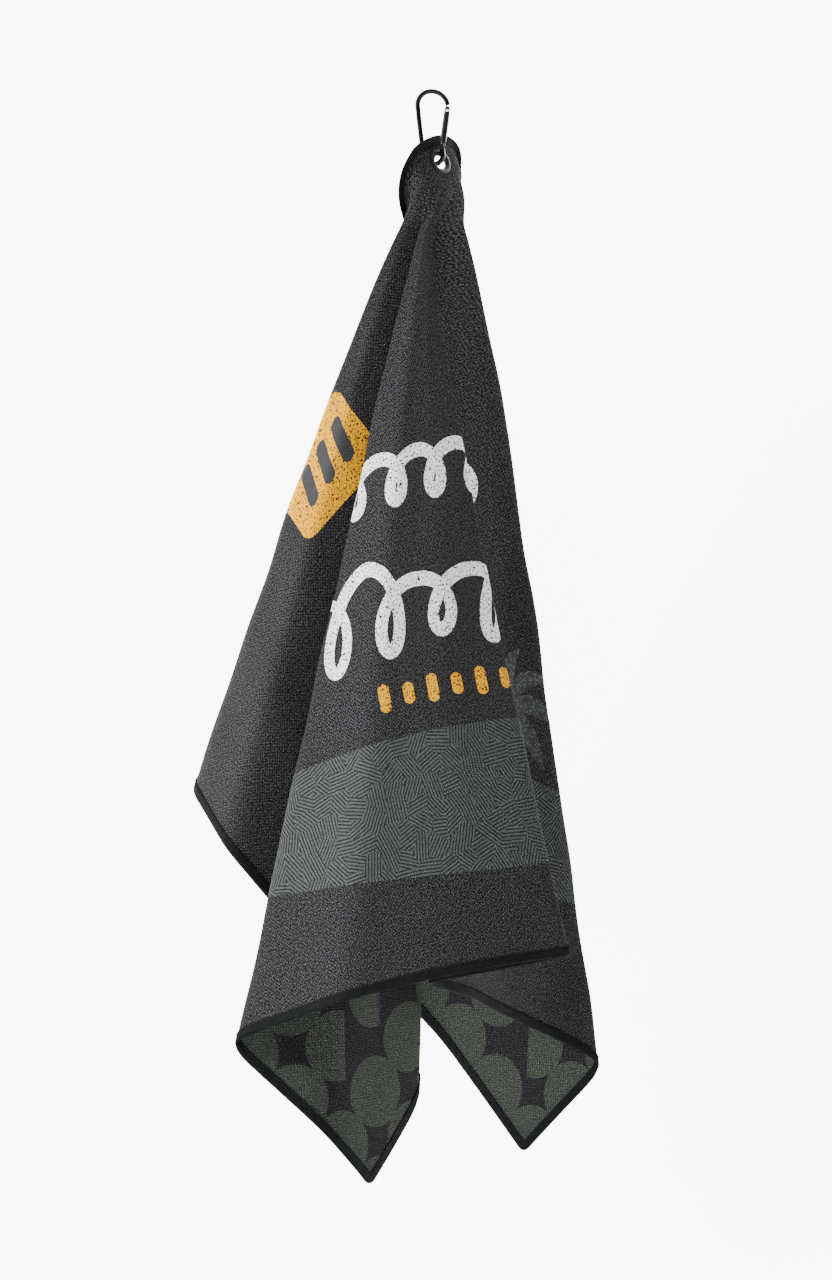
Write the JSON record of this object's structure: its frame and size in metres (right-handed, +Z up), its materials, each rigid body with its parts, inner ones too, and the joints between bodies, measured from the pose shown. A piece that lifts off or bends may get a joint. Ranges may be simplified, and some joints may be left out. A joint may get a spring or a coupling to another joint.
{
  "type": "golf towel",
  "caption": "Charcoal microfibre golf towel with a near-black bound edge, hanging from a grommet on a small gunmetal carabiner with a sprung gate.",
  "frame": {"origin": "the carabiner's top inner bearing point, on the centre of its rod's inner side, where it hangs on a ring or bar", "axes": "+Z up along the hanging towel, its printed side faces -Y, +X is to the right of someone looking at the printed side; the carabiner lies in the XZ plane"},
  "size_m": [0.2448, 0.2119, 0.6544],
  "materials": {
    "gunmetal": "polished dark nickel",
    "spring_steel": "drawn wire",
    "dark_paint": "matte dark grey-green",
    "charcoal_cloth": "heather microfibre",
    "black_tape": "ribbed binding tape"
  },
  "bodies": {
    "carabiner": {"carabiner_body": "gunmetal", "gate_rivet": "gunmetal"},
    "gate": {"carabiner_gate": "gunmetal", "gate_catch_pin": "spring_steel", "gate_plunger": "spring_steel", "gate_spring": "spring_steel"},
    "towel": {"grommet_eyelet": "dark_paint", "grommet_washer": "dark_paint", "towel_cloth": "charcoal_cloth", "binding_tape_right": "black_tape", "binding_tape_bottom": "black_tape", "binding_tape_left": "black_tape", "binding_tape_top": "black_tape"}
  },
  "joints": [
    {"name": "gate_hinge", "type": "hinge", "parent": "carabiner", "child": "gate", "pos_m": [0.0069, 0, -0.0304], "axis": [0, -1, 0], "range_deg": [0, 22], "stiffness_Nm_per_rad": 0.03, "springref_deg": -20.05},
    {"name": "towel_swing", "type": "hinge", "parent": "carabiner", "child": "towel", "pos_m": [0.0013, 0, -0.0363], "axis": [0, -1, 0], "range_deg": [-8, 5]}
  ]
}
